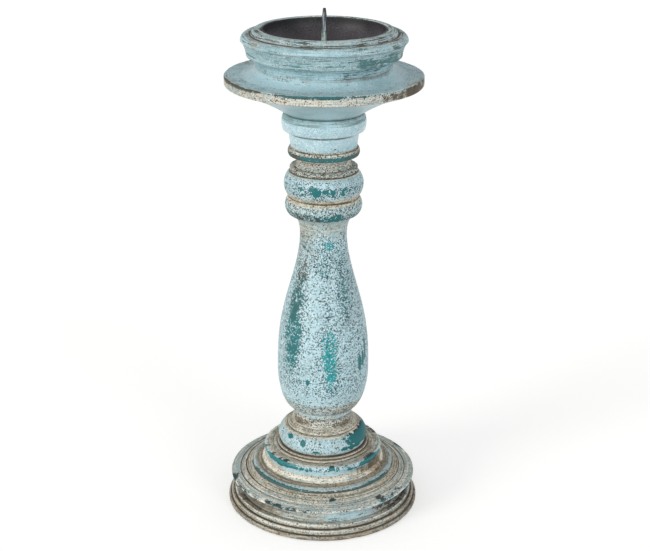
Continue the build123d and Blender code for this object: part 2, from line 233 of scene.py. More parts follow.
# %% Noise on a turned surface
FINE_TOOL, BROAD_TOOL = 0.35 * MM, 0.9 * MM
BROAD_SHARE = 1.5
MARK_SPREAD = 0.18


def mottle(along, girth_cells, cell, seed, columns):
    """Smooth noise from 0 to 1 on a grid of outline distance by angle.

    Random values stand on a lattice, one row every cell of outline and girth_cells columns round the axis.
    Between them the noise blends with the weight 3t^2 - 2t^3 in both directions.
    """
    random = np.random.default_rng(seed)
    steps = along / cell
    lattice = random.random((int(steps.max()) + 3, girth_cells))
    turns = np.arange(columns) * girth_cells / columns
    i, j = steps.astype(int), turns.astype(int)
    t, u = steps - i, turns - j
    t, u = (t * t * (3 - 2 * t))[:, None], (u * u * (3 - 2 * u))[None, :]
    nearby = [[lattice[np.ix_(i + di, (j + dj) % girth_cells)] for dj in (0, 1)] for di in (0, 1)]
    low = nearby[0][0] * (1 - u) + nearby[0][1] * u
    high = nearby[1][0] * (1 - u) + nearby[1][1] * u
    return low * (1 - t) + high * t


def tool_marks(along, closed, seed):
    """Ridges left by a turning tool, 0 to 1: white noise along the outline, averaged over two tool widths."""
    random = np.random.default_rng(seed)
    white = random.standard_normal(len(along))
    marks = soften(white, closed, FINE_TOOL) + BROAD_SHARE * soften(white[::-1], closed, BROAD_TOOL)
    return np.clip(0.5 + MARK_SPREAD * marks / marks.std(), 0, 1)


sample = mottle(np.linspace(0, 40 * MM, 50), 24, 5 * MM, 1, 96)
seam = np.abs(sample[:, 0] - sample[:, -1]).max()
print(f"noise from {sample.min():.2f} to {sample.max():.2f}, largest step at the seam {seam:.2f}")

# %% [markdown]
# ## Carrying the outline round
# Blender's Screw modifier can turn an outline into a surface, but the wear has to differ from one side to
# the other. Here the grid of corners is worked out as whole arrays: a row for each outline sample, a column
# for each angle, and a push along the normal that is never outwards, so that the painted piece stays inside
# its solid. Everything the paint needs to know is stored on the corners as named attributes.

# %% Turn an outline into a mesh
WIDE_COLUMNS, SLIM_COLUMNS = 320, 256


def turned_mesh(name, line, columns, push, attributes):
    """Mesh object of an outline carried round Z.

    A corner at outline row i and angle a lies at ((radius + push * out) * cos a, the same * sin a,
    level + push * up). An open outline's first and last rows shrink to one corner on the axis.
    """
    angle = np.arange(columns) * 2 * pi / columns
    rows = line["rows"]
    radius = line["radius"][rows, None] + push * line["out"][rows, None]
    level = line["level"][rows, None] + push * line["up"][rows, None]
    corners = np.stack([radius * np.cos(angle), radius * np.sin(angle), level], axis=-1)
    stored = {key: np.broadcast_to(value, push.shape) for key, value in attributes.items()}
    poles = []
    if not line["closed"]:
        poles = [corners[k].mean(axis=0) * (0, 0, 1) for k in (0, -1)]
        corners = corners[1:-1]
        ends = {key: [value[0].mean(), value[-1].mean()] for key, value in stored.items()}
        stored = {key: np.append(value[1:-1].ravel(), ends[key]) for key, value in stored.items()}

    count = len(corners)
    grid = np.arange(count * columns).reshape(count, columns)
    side = np.roll(grid, -1, axis=1)
    above, above_side = np.roll(grid, -1, axis=0), np.roll(side, -1, axis=0)
    quads = np.stack([grid, side, above_side, above], axis=-1)
    quads = quads if line["closed"] else quads[:-1]
    faces = quads.reshape(-1, 4).tolist()
    points = corners.reshape(-1, 3)
    if poles:
        start, end = len(points), len(points) + 1
        points = np.vstack([points, poles])
        faces += np.column_stack([np.full(columns, start), side[0], grid[0]]).tolist()
        faces += np.column_stack([np.full(columns, end), grid[-1], side[-1]]).tolist()

    mesh = bpy.data.meshes.new(name)
    mesh.from_pydata(points.tolist(), [], faces)
    mesh.shade_smooth()
    for key, value in stored.items():
        layer = mesh.attributes.new(key, "FLOAT", "POINT")
        layer.data.foreach_set("value", np.ascontiguousarray(value, dtype=np.float32).ravel())
    piece = bpy.data.objects.new(name, mesh)
    bpy.context.scene.collection.objects.link(piece)
    return piece


foot_girth = 2 * pi * cad_box[1][0]
print(f"columns on the edge of the foot: {foot_girth / WIDE_COLUMNS / MM:.2f} mm apart")

# %% [markdown]
# ## Where the paint has gone
# The finish was laid on in bands and then rubbed back. Most of it follows the mouldings, so a list of level
# bands says how much teal, beige wash, brown glaze and bare gesso each one shows. On top of that come the
# few worn patches that a viewer would recognise, each with its own place and size, patches of painted shade
# on the sides of the base and the head, and of painted highlight at the front of the base. Angles are
# counted from the front of the stand, positive to the right.

# %% Bands and patches of wear and of painted shade
# Level in mm where a band starts and ends. Then, from 0 for none to about 1 for much: flecks of the coat
# below, beige wash, brown glaze, bare gesso, and how far the rubbing ran round the turning instead of
# leaving round flecks. A wash below zero is clean, chalky paint, and a glaze below zero keeps the brown out
# of a hollow
WEAR_BANDS = (
    (0.0, 3.1, 0.22, 1.20, 0.40, 0.34, 0.4),
    (3.1, 6.5, 0.22, 0.94, 0.08, 0.40, 0.5),
    (6.5, 9.7, 0.24, 0.80, 0.08, 0.38, 0.5),
    (9.7, 19.3, 0.26, 0.66, 0.14, 0.14, 0.9),
    (19.3, 21.3, 0.34, 0.58, 0.18, 0.12, 0.5),
    (21.3, 22.6, 0.14, 0.60, -0.04, 0.42, 0.8),
    (22.6, 24.4, 0.14, 0.72, 0.00, 0.40, 0.85),
    (24.4, 26.7, 0.12, 0.94, 0.02, 0.44, 0.85),
    (26.7, 28.0, 0.80, 0.10, 0.00, 0.00, 0.3),
    (28.0, 29.2, 0.26, 0.50, 0.16, 0.14, 0.6),
    (29.2, 30.2, 0.10, 1.10, 0.34, 0.24, 0.9),
    (30.2, 32.6, 0.00, 0.66, -0.25, 0.66, 0.55),
    (32.6, 34.0, 0.06, 0.90, 0.00, 0.46, 0.6),
    (34.0, 37.0, 0.04, 0.26, 0.00, 0.16, 0.7),
    (37.0, 40.7, 0.26, -0.10, 0.02, 0.10, 0.1),
    (40.7, 44.3, 0.18, 1.05, -0.06, 0.46, 0.9),
    (44.3, 55.4, 0.12, 0.30, 0.02, 0.12, 0.0),
    (55.4, 60.3, 0.12, 0.90, 0.04, 0.46, 0.7),
    (60.3, 66.4, 0.30, 0.70, 0.06, 0.48, 0.0),
    (66.4, 69.3, 0.18, 0.46, 0.02, 0.24, 0.3),
    (69.3, 80.0, 0.20, 0.54, 0.06, 0.05, 0.0),
    (80.0, 88.0, 0.13, 0.22, 0.00, 0.00, 0.0),
    (88.0, 192.0, 0.29, 0.08, 0.00, 0.00, 0.0),
    (192.0, 197.0, 0.18, 0.40, 0.00, 0.05, 0.0),
    (197.0, 206.8, 0.04, 0.56, 0.02, 0.10, 0.2),
    (206.8, 211.8, 0.56, 0.40, 0.20, 0.02, 0.0),
    (211.8, 217.0, 0.28, 0.42, 0.04, 0.08, 0.0),
    (217.0, 221.2, 0.10, 1.00, -0.45, 0.50, 0.6),
    (221.2, 224.0, 0.24, 0.44, 0.04, 0.12, 0.1),
    (224.0, 230.0, 0.44, 0.14, 0.04, 0.00, 0.0),
    (230.0, 233.6, 0.22, 0.14, 0.00, 0.05, 0.0),
    (233.6, 235.3, 0.14, 0.50, -0.15, 0.46, 0.5),
    (235.3, 238.5, 0.46, 0.70, 0.10, 0.14, 0.3),
    (238.5, 246.0, 0.20, 0.72, 0.02, 0.46, 0.1),
    (246.0, 249.4, 0.96, 0.26, 0.16, 0.00, 0.5),
    (249.4, 252.0, 0.34, 1.00, -0.60, 0.46, 0.4),
    (252.0, 255.0, 0.06, 0.12, 0.00, 0.02, 0.3),
    (255.0, 261.0, 0.03, -0.26, 0.00, 0.00, 0.3),
    (261.0, 262.4, 0.46, 0.00, -0.50, 0.00, 0.0),
    (262.4, 269.4, 0.05, -0.42, 0.00, 0.00, 0.3),
    (269.4, 275.0, 0.10, 0.32, -1.10, 0.00, 1.1),
    (275.0, 291.3, 0.08, -0.16, 0.00, 0.00, 0.6),
    (291.3, 296.6, 0.10, 0.66, 0.24, 0.50, 0.1),
    (296.6, 297.6, 0.46, 0.40, 0.30, 0.16, 0.3),
    (297.6, 298.4, 0.28, 0.30, 0.08, 0.02, 0.7),
    (298.4, 303.0, 0.08, -0.26, 0.00, 0.00, 0.5),
    (303.0, 309.8, 0.26, 0.06, 0.02, 0.00, 1.1),
    (309.8, 319.2, 0.38, 0.16, 0.00, 0.12, 1.2),
    (319.2, 322.9, 0.30, 0.12, -0.05, 0.14, 1.0),
    (322.9, 327.0, 0.50, 0.48, 0.00, 0.26, 1.1),
)
BAND_BLUR = 0.4

# Worn, stained and chipped places, among them patches of painted shade and of painted highlight: angle in
# degrees, level, half width and half height in mm, what each adds, and how far it is broken up, from one
# solid patch at 0 to scattered bits at 1
TEAL_AND_SHADE_PATCHES = (
    (-42, 134, 13, 36, 0.20, 0.3),
    (-44, 127, 9.5, 26, 0.42, 0.35),
    (-47, 156, 8, 24, 0.42, 0.35),
    (-46, 104, 10, 14, 0.18, 0.3),
    (9, 118, 9, 34, 0.22, 0.3),
    (9, 118, 6.5, 24, 0.40, 0.33),
    (12, 94, 7, 14, 0.16, 0.3),
    (34, 152, 7, 20, 0.28, 0.3),
    (48, 166, 8, 26, 0.16, 0.3),
    (4, 171, 5, 2.0, 0.5, 0.5),
    (2, 180, 18, 15, 0.16, 0.3),
    (14, 188, 4.5, 4, 0.50, 0.3),
    (-16, 150, 9, 28, -0.14, 0.2),
    (-20, 120, 7, 16, -0.10, 0.2),
    (34, 124, 8, 22, -0.06, 0.2),
    (53, 108, 2.0, 6.0, 2.5, 0.1),
    (66, 116, 1.4, 9, 2.5, 0.1),
    (60, 110, 1.3, 6, 2.5, 0.1),
    (-19, 98, 2.0, 3.0, 0.9, 0.3),
    (70, 52.6, 22, 6.6, 4.0, 0.34),
    (44, 48.8, 7, 4.0, 4.0, 0.45),
    (30, 47.8, 3.4, 1.8, 4.0, 0.3),
    (-50, 53.6, 2.8, 1.9, 4.0, 0.3),
    (-27, 52, 2.2, 2.4, 4.0, 0.3),
    (-8, 46.6, 3.4, 0.8, 4.0, 0.3),
    (-46, 38.6, 23, 2.9, 4.0, 0.38),
    (-78, 38.6, 9, 2.9, 4.0, 0.42),
    (55, 38.6, 16, 2.9, 4.0, 0.38),
    (30, 37.6, 8, 1.2, 4.0, 0.5),
    (4, 38.9, 24, 2.4, 1.6, 0.85),
    (12, 208.8, 9, 4.4, 1.2, 0.55),
    (-44, 208.8, 22, 4.4, 0.45, 0.5),
    (-30, 227.8, 15, 3.4, 0.9, 0.70),
    (8, 226.8, 20, 3.4, 0.9, 0.70),
    # Painted shade under the moulding's edge on the right of the scotia, laid as dark teal over its real teal
    (66, 14.5, 32, 9.0, 1.10, 0.62),
    (66, 9.8, 34, 4.5, 1.00, 0.62),
    (36, 17.0, 16, 3.0, 0.50, 0.6),
    # Painted shade under the moulding's edge on the left of the scotia, laid as teal
    (-62, 14.5, 16, 8.0, 0.50, 0.5),
    # Teal down the cup's right side, partly its real streaks and partly painted shade
    (50, 313.0, 36, 6.0, 0.46, 0.45),
    (38, 307.0, 34, 4.4, 0.46, 0.45),
    (56, 321, 26, 3.4, 0.30, 0.5),
    (-20, 314.0, 34, 3.4, 0.14, 0.5),
    (-4, 297.3, 32, 1.4, 2.0, 0.5),
    # Dark teal on the right end of the plate's edge, partly painted shade
    (64, 294.4, 34, 4.0, 0.80, 0.6),
    (-60, 297.4, 34, 1.5, 1.0, 0.3),
    (40, 21.6, 18, 4.0, 1.20, 0.74),
    (-32, 20.8, 36, 3.0, 1.30, 0.72),
    (-60, 21.2, 14, 3.0, 1.20, 0.66),
    (-75, 21.2, 7, 4.0, 2.50, 0.45),
    (7, 24.0, 2.4, 1.6, 4.0, 0.3),
    (-44, 28.0, 30, 1.5, 0.8, 0.3),
    (44, 28.0, 22, 1.4, 0.8, 0.4),
    (72, 28.0, 20, 1.4, 0.8, 0.6),
)
STAINS_AND_SHADE = (
    (-55, 322.0, 10, 3.0, 0.40, 0.4),
    (34, 321.5, 6, 2.7, 0.40, 0.4),
    # Painted shade down the head's right side, laid as stain
    (62, 322.0, 34, 4.4, 0.26, 0.4),
    (60, 313.0, 36, 7.0, 0.12, 0.4),
    (62, 305.0, 36, 6.0, 0.16, 0.4),
    # Darker at both sides of the capital's ring
    (-62, 247.5, 16, 4.0, 0.25, 0.4),
    (62, 247.5, 16, 4.0, 0.30, 0.4),
    # Painted shade on both sides of the scotia, under the moulding's edge, laid as stain
    (-56, 14.5, 34, 9.0, 0.48, 0.25),
    (-56, 10.6, 30, 2.5, 0.40, 0.3),
    (66, 14.5, 36, 9.0, 0.40, 0.3),
    (68, 9.8, 34, 4.5, 0.40, 0.25),
    # Painted highlight on the scotia and the moulding's lower edge at the front right, laid as clean pale
    # paint
    (22, 13.0, 26, 5.0, -0.40, 0.3),
    (48, 20.2, 30, 1.8, -0.40, 0.3),
    # Painted shade on both sides of the plinth and of the moulding's coves, laid as stain
    (70, 6.0, 40, 5.0, 0.35, 0.4),
    (-66, 6.0, 36, 5.0, 0.25, 0.4),
    (62, 33.0, 26, 6.0, 0.90, 0.4),
    (-64, 32.0, 20, 5.0, 0.22, 0.4),
    (-74, 24.0, 24, 4.0, 0.25, 0.4),
    (74, 25.5, 24, 4.0, 0.25, 0.4),
    # Painted shade on the right end of the plate's edge, laid as stain
    (66, 294.4, 36, 4.0, 0.80, 0.45),
    (-60, 297.4, 40, 1.5, 0.60, 0.3),
    (42, 73.0, 18, 8.0, 0.24, 0.4),
    (-47, 156, 9, 24, 0.36, 0.4),
    (-52, 184, 14, 22, 0.30, 0.3),
    (-42, 208.8, 18, 4.4, 0.35, 0.5),
    (-30, 246.5, 40, 3.0, 0.20, 0.5),
    (-45, 120, 6, 8, 0.18, 0.5),
    (9, 116, 9, 32, -0.40, 0.2),
    (14, 188, 7, 7, -0.40, 0.2),
    (52, 150, 12, 36, 0.12, 0.3),
    (-76, 298, 22, 4.0, 0.30, 0.5),
    (72, 298, 28, 4.0, 0.36, 0.5),
    # Darker at both sides of the collar and below the bead
    (-52, 62.5, 14, 3.2, 0.55, 0.4),
    (50, 61.5, 14, 2.6, 0.50, 0.4),
    (60, 42.0, 20, 3.0, 0.40, 0.4),
    (-50, 42.0, 16, 3.0, 0.25, 0.4),
    (0, 0.6, 60, 1.6, 0.40, 0.6),
)
CHIPS = (
    (-38, 20.2, 34, 4.0, 1.2, 0.75),
    (-6, 19.6, 28, 2.4, 1.2, 0.75),
    (38, 20.4, 24, 1.8, 0.7, 0.75),
    (64, 53.0, 15, 8.0, 0.35, 0.4),
    (-30, 325.6, 34, 1.8, 0.30, 0.6),
    # Fewer chips on the right end of the plate's edge, which keeps the painted shade there dark
    (64, 294.4, 32, 4.0, -0.2, 0.4),
)
BACK_TURN = 155
BACK_STARTS, BACK_FADE = 110, 10
RAGGED_MIDDLE, RAGGED_GAIN = 0.62, 2.4
# Of places at one level the outer one counts as nearest, by a weight that is too small to matter otherwise
OUTER_FIRST = 0.001
PATCH_MARGIN, PATCH_FULL = -0.3, 0.5


def front_angle(columns):
    """Angle of each column from the front, in degrees from -180 to 180, positive to the right."""
    turned = np.degrees(np.arange(columns) * 2 * pi / columns) + 90
    return (turned + 180) % 360 - 180


def banded(level, choice):
    """Value of one column of WEAR_BANDS at each level, blended over BAND_BLUR either side of a boundary."""
    total = np.zeros_like(level)
    for band in WEAR_BANDS:
        rise = 1 / (1 + np.exp(-np.clip((level - band[0]) / (BAND_BLUR / 4), -50, 50)))
        fall = 1 / (1 + np.exp(-np.clip((level - band[1]) / (BAND_BLUR / 4), -50, 50)))
        total += band[choice] * (rise - fall)
    return total


def patched(patches, level, radius, ragged):
    """What the patches add: each is a paraboloid, blended with noise by how far the patch is broken up.

    Half heights are measured in the half section, from the outermost point at the patch's level, so that a
    patch on an edge goes round the edge. The back has been used as well: a second set lies BACK_TURN round,
    and fades out before it reaches the sides.
    """
    total = np.zeros(ragged.shape)
    angles = front_angle(ragged.shape[1])
    behind = np.clip((np.abs(angles) - BACK_STARTS) / BACK_FADE, -2, 0)
    for angle, middle, wide, tall, strength, broken in patches:
        nearest = np.argmin(np.abs(level - middle) - OUTER_FIRST * radius)
        away = np.hypot(level - middle, radius - radius[nearest])
        for turn, kept in ((0, 0), (BACK_TURN, behind)):
            across = radians(1) * ((angles - angle - turn + 180) % 360 - 180) * radius[:, None]
            inside = 1 - (across / wide) ** 2 - (away / tall)[:, None] ** 2 + kept
            amount = (1 - broken) * inside + broken * RAGGED_GAIN * (ragged - RAGGED_MIDDLE)
            share = np.clip(amount, 0, PATCH_FULL) / PATCH_FULL
            total += np.where(inside > PATCH_MARGIN, strength * share, 0)
    return total


print(len(WEAR_BANDS), "bands,", len(TEAL_AND_SHADE_PATCHES), "worn patches")
print(len(STAINS_AND_SHADE), "stains,", len(CHIPS), "chipped places")

# %% [markdown]
# ## The six turned pieces
# Each wooden piece is the same job: measure its outline, cut in tool marks, let it run slightly out of true,
# knock small chips out of its proud edges, and store the wear and the painted shade. The cup's side has
# coarser ribs than the rest, left by a scraper. The piece then takes the place of its solid, which stays in
# the physics model.

# %% Turn the wooden pieces
WIDE_RADIUS = 40 * MM
MARK_DEPTH = 0.10 * MM
WOBBLE_DEPTH = 0.16 * MM
WOBBLE_CELLS, WOBBLE_CELL = 7, 30 * MM
CHIP_DEPTH = 0.40 * MM
CHIP_STARTS, CHIP_RANGE = 0.62, 0.15
RIB_DEPTH = 0.20 * MM
RIB_PITCH = 2.1 * MM
RIBBED = (310.5 * MM, 318.6 * MM)
RIBBED_OUTSIDE = 45 * MM
# How much wash and glaze a hollow holds and how much gesso an edge bares. The glaze is thicker in places
HOLLOW_WASH, HOLLOW_GLAZE, EDGE_BARE = 0.2, 1.25, 0.35
GLAZE_LEAST, GLAZE_SWING = 0.5, 0.9
GLAZE_CELLS, GLAZE_CELL = 11, 14 * MM
TEAL_MOST = 1.6
# Knocks and frayed borders of the paint, from noises of more than one size: share, cells round the piece
# or width of a cell, height of a cell, and which random draw it is
KNOCKS = ((0.5, 130, 1.8 * MM, 2), (0.5, 23, 9 * MM, 3))
FRAYS = ((0.3, 1.4 * MM, 1.2 * MM, 4), (0.35, 2.9 * MM, 2.6 * MM, 7), (0.35, 6 * MM, 6 * MM, 5))
WOODEN = ("base_plinth", "base_moulding", "base_bead", "stem", "capital", "candle_head")


def wooden_piece(node, seed):
    """A turned piece with tool marks, a slight wobble, chipped edges, and wear and painted shade stored on
    its corners.
    """
    line = measured_outline(node)
    rows, along = line["rows"], line["along"]
    level, radius = line["level"][rows], line["radius"][rows]
    columns = WIDE_COLUMNS if radius.max() > WIDE_RADIUS else SLIM_COLUMNS
    place = along[rows]
    ribbed = (level > RIBBED[0]) & (level < RIBBED[1]) & (radius > RIBBED_OUTSIDE)
    marks = MARK_DEPTH * tool_marks(along, line["closed"], seed)[rows]
    marks += np.where(ribbed, RIB_DEPTH * (0.5 + 0.5 * np.cos(2 * pi * place / RIB_PITCH)), 0)

    wobble = mottle(place, WOBBLE_CELLS, WOBBLE_CELL, seed + 1, columns)
    knocks = sum(
        share * mottle(place, cells, tall, seed + draw, columns) for share, cells, tall, draw in KNOCKS)
    edge, hollow = line["edge"][rows][:, None], line["hollow"][rows][:, None]
    chip = np.clip((edge * knocks - CHIP_STARTS) / CHIP_RANGE, 0, 1)
    push = -(marks[:, None] + WOBBLE_DEPTH * wobble + CHIP_DEPTH * chip)

    in_mm = level / MM
    girth = 2 * pi * radius.max()
    frayed = sum(
        share * mottle(place, int(girth / wide), tall, seed + draw, columns)
        for share, wide, tall, draw in FRAYS)
    uneven = GLAZE_LEAST + GLAZE_SWING * mottle(place, GLAZE_CELLS, GLAZE_CELL, seed + 6, columns)
    worn_and_shaded, stain_and_shade, chipped = (
        patched(places, in_mm, radius / MM, ragged)
        for places, ragged in ((TEAL_AND_SHADE_PATCHES, frayed), (STAINS_AND_SHADE, frayed), (CHIPS, 1 - frayed)))
    teal, wash, glaze, bare, combed = (banded(in_mm, choice)[:, None] for choice in range(2, 7))
    wear = {
        "teal": np.clip(teal + worn_and_shaded, 0, TEAL_MOST),
        "wash": wash + HOLLOW_WASH * hollow + stain_and_shade,
        "glaze": glaze + HOLLOW_GLAZE * hollow * uneven + stain_and_shade,
        "bare": bare + EDGE_BARE * edge + chip + chipped,
        "combed": combed,
        "run": place[:, None],
    }
    piece = turned_mesh(f"painted_{node}", line, columns, push, wear)
    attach(piece, "stand")
    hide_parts(node)
    return piece


painted = {node: wooden_piece(node, 100 * k) for k, node in enumerate(WOODEN)}
for node, piece in painted.items():
    print(f"{piece.name}: {len(piece.data.vertices)} corners")

# %% [markdown]
# ## The pan and the spike
# The pan is a spun steel dish, so it is a turned piece as well, with far finer marks. The spike was filed by
# hand: it gets a slow wobble and a slightly uneven taper.

# %% Turn the pan and the spike
PAN_COLUMNS, SPIKE_COLUMNS = 240, 64
STEEL_SOFTNESS = 0.15 * MM
STEEL_ROW = 0.8 * MM
STEEL_CELLS, STEEL_CELL = 5, 4 * MM
SPIKE_PAINTED, PAINT_FADE = 323.5, 14
SPIKE_SOOTY, SOOT_FADE = 335.5, 2
# Where and how wide painted shade lies down the spike's right side, and how dark it is
SHADED_SIDE, SHADE_SPREAD, SIDE_SHADE = 75, 45, 0.9


def spike_wear(level, angles):
    """Paint from the foot to SPIKE_PAINTED, soot on the tip, and painted shade as a bell curve on the right
    side.
    """
    return {
        "paint": np.clip((SPIKE_PAINTED - level) / PAINT_FADE + 0.5, 0, 1),
        "soot_and_shade": np.clip((level - SPIKE_SOOTY) / SOOT_FADE, 0, 1)
        # Painted shade down the right side
        + SIDE_SHADE * np.exp(-((angles - SHADED_SIDE) / SHADE_SPREAD) ** 2),
    }


def steel_piece(node, columns, mark_depth, wobble_depth, seed, wear_of=None):
    """A turned steel piece with spinning or filing marks, and the wear that wear_of works out for it."""
    line = measured_outline(node, softness=STEEL_SOFTNESS, widest_row=STEEL_ROW, plain_row=STEEL_ROW)
    rows = line["rows"]
    place = line["along"][rows]
    marks = tool_marks(line["along"], line["closed"], seed)[rows][:, None]
    wobble = mottle(place, STEEL_CELLS, STEEL_CELL, seed + 1, columns)
    push = -(mark_depth * marks + wobble_depth * wobble)
    level, angles = line["level"][rows][:, None] / MM, front_angle(columns)[None, :]
    wear = wear_of(level, angles) if wear_of else {}
    piece = turned_mesh(f"worn_{node}", line, columns, push, wear)
    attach(piece, "candle_pan")
    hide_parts(node)
    return piece


pan = steel_piece("drip_pan", PAN_COLUMNS, mark_depth=0.02 * MM, wobble_depth=0.04 * MM, seed=900)
spike = steel_piece(
    "pricket", SPIKE_COLUMNS, mark_depth=0.03 * MM, wobble_depth=0.12 * MM, seed=950, wear_of=spike_wear)
print("pan and spike:", len(pan.data.vertices), "and", len(spike.data.vertices), "corners")

# %% [markdown]
# ## Colours and nodes
# Paint colours are written as the sRGB hex values that a paint chart would give, and one function turns them
# to the linear values that Blender's nodes use. One small helper adds a node, sets its inputs and links
# it, so a material reads as a list of what is laid on what.

# %% Helpers for materials
def linear(hex_colour):
    """sRGB hex to linear RGBA: c/12.92 below 0.04045, and ((c + 0.055)/1.055)^2.4 above it."""
    srgb = np.array([int(hex_colour[k:k + 2], 16) for k in (1, 3, 5)]) / 255
    rgb = np.where(srgb <= 0.04045, srgb / 12.92, ((srgb + 0.055) / 1.055) ** 2.4)
    return (*rgb.tolist(), 1.0)


def new_material(name):
    """An empty node material and its tree."""
    material = bpy.data.materials.new(name)
    material.use_nodes = True
    material.node_tree.nodes.clear()
    return material, material.node_tree


def add(tree, kind, inputs=None, **settings):
    """Adds a node. Settings are its properties, and an input is a value or a socket to link from."""
    node = tree.nodes.new(kind)
    for key, value in settings.items():
        setattr(node, key, value)
    for key, value in (inputs or {}).items():
        if isinstance(value, bpy.types.NodeSocket):
            tree.links.new(value, node.inputs[key])
        else:
            node.inputs[key].default_value = value
    return node


PALE_BLUE = "#AFCED6"
print("pale blue in linear light:", np.round(linear(PALE_BLUE), 3).tolist())

# %% [markdown]
# ## Distressed milk paint
# The real finish is casein paint over gesso on wood: flat and chalky, with a faint sheen where hands have
# polished it. It could be painted on an image, but nodes keep it sharp at any distance. The mix starts with
# the pale blue coat and its chalky lights. Beige wash and streaks of dirt come over it, then cream gesso and
# bare wood where it is rubbed off, specks and patches of the teal coat below, and brown glaze in the hollows.
# Each coat covers the surface where its stored wear and painted shade, shaken by noise, passes from a low to
# a high value. The noise gives every border the ragged look of flaked paint, and patches merge where the wear
# is strong.

# %% Distressed milk paint
GREY_BLUE, CHALK = "#97B6BD", "#D2E4EA"
TEAL, CYAN_TEAL, DEEP_TEAL, GREY_TEAL = "#136669", "#2A9A9E", "#1E3F43", "#4A7678"
BEIGE, DARK_BEIGE, CREAM = "#CECAB8", "#645F4C", "#E3DFD0"
WOOD, RUST = "#B79E7E", "#A86E50"
UMBER, SOOT = "#4E4637", "#23221F"
# The finest flecks of such paint are about 0.2 mm. They are drawn three times as wide, because anything
# smaller than a pixel of the picture would only turn it grey
FLECK = 0.6 * MM
GRAIN = 1.1 * MM
PATCH = 5 * MM
CLOUD = 22 * MM
# Length round the turning, and width across it
STREAK = (18 * MM, 0.75 * MM)
BRUSH = (45 * MM, 1.3 * MM)
BUMP_DEPTH = 0.25 * MM


def coat(tree, terms, below, above, shares, low, high):
    """Lays a colour over another where a weighted sum of terms passes from low to high.

    Gives the new colour and the share of the surface that the coat covers.
    """
    total = 0.0
    for name, weight in shares.items():
        total = add(
            tree, "ShaderNodeMath", {0: terms[name], 1: weight, 2: total}, operation="MULTIPLY_ADD",
        ).outputs[0]
    share = add(
        tree, "ShaderNodeMapRange", {"Value": total, "From Min": low, "From Max": high},
        interpolation_type="SMOOTHSTEP",
    ).outputs["Result"]
    colour = add(tree, "ShaderNodeMix", {"Factor": share, 6: below, 7: above}, data_type="RGBA").outputs[2]
    return colour, share


def paint_terms(tree):
    """What the coats are weighed by: the stored wear, and noises that are centred on zero."""
    terms = {}
    for name in ("teal", "wash", "glaze", "bare", "combed"):
        terms[name] = add(tree, "ShaderNodeAttribute", attribute_name=name).outputs["Fac"]
    place = add(tree, "ShaderNodeTexCoord").outputs["Object"]
    split = add(tree, "ShaderNodeSeparateXYZ", {"Vector": place}).outputs
    run = add(tree, "ShaderNodeAttribute", attribute_name="run").outputs["Fac"]
    ringed = add(tree, "ShaderNodeCombineXYZ", {"X": split["X"], "Y": split["Y"], "Z": run}).outputs["Vector"]
    for name, vector, long, high, detail in (
        ("grain", place, GRAIN, GRAIN, 3),
        ("patch", place, PATCH, PATCH, 4),
        ("cloud", place, CLOUD, CLOUD, 3),
        ("streak", ringed, *STREAK, 3),
        ("brush", ringed, *BRUSH, 3),
    ):
        scaled = add(tree, "ShaderNodeMapping", {"Vector": vector, "Scale": (1 / long, 1 / long, 1 / high)})
        noise = add(
            tree, "ShaderNodeTexNoise",
            {"Vector": scaled.outputs["Vector"], "Scale": 1.0, "Detail": detail, "Roughness": 0.6},
        ).outputs["Fac"]
        terms[name] = add(tree, "ShaderNodeMath", {0: noise, 1: 0.5}, operation="SUBTRACT").outputs[0]
    dots = add(tree, "ShaderNodeTexVoronoi", {"Vector": place, "Scale": 1 / FLECK}).outputs["Color"]
    chances = add(tree, "ShaderNodeSeparateColor", {"Color": dots}).outputs
    for name, channel, lines in (("rubbed", "Red", 1.0), ("other", "Green", 0.4)):
        fleck = add(tree, "ShaderNodeMath", {0: chances[channel], 1: 0.5}, operation="SUBTRACT").outputs[0]
        lined = add(tree, "ShaderNodeMath", {0: fleck, 1: 0.25}, operation="MULTIPLY").outputs[0]
        for line, weight in (("streak", 2.0 * lines), ("brush", 1.0 * lines)):
            lined = add(
                tree, "ShaderNodeMath", {0: terms[line], 1: weight, 2: lined}, operation="MULTIPLY_ADD",
            ).outputs[0]
        terms[name] = add(tree, "ShaderNodeMix", {"Factor": terms["combed"], 2: fleck, 3: lined}).outputs[0]
    terms["speck"] = add(
        tree, "ShaderNodeMath", {0: chances["Blue"], 1: 0.5}, operation="SUBTRACT",
    ).outputs[0]
    return terms


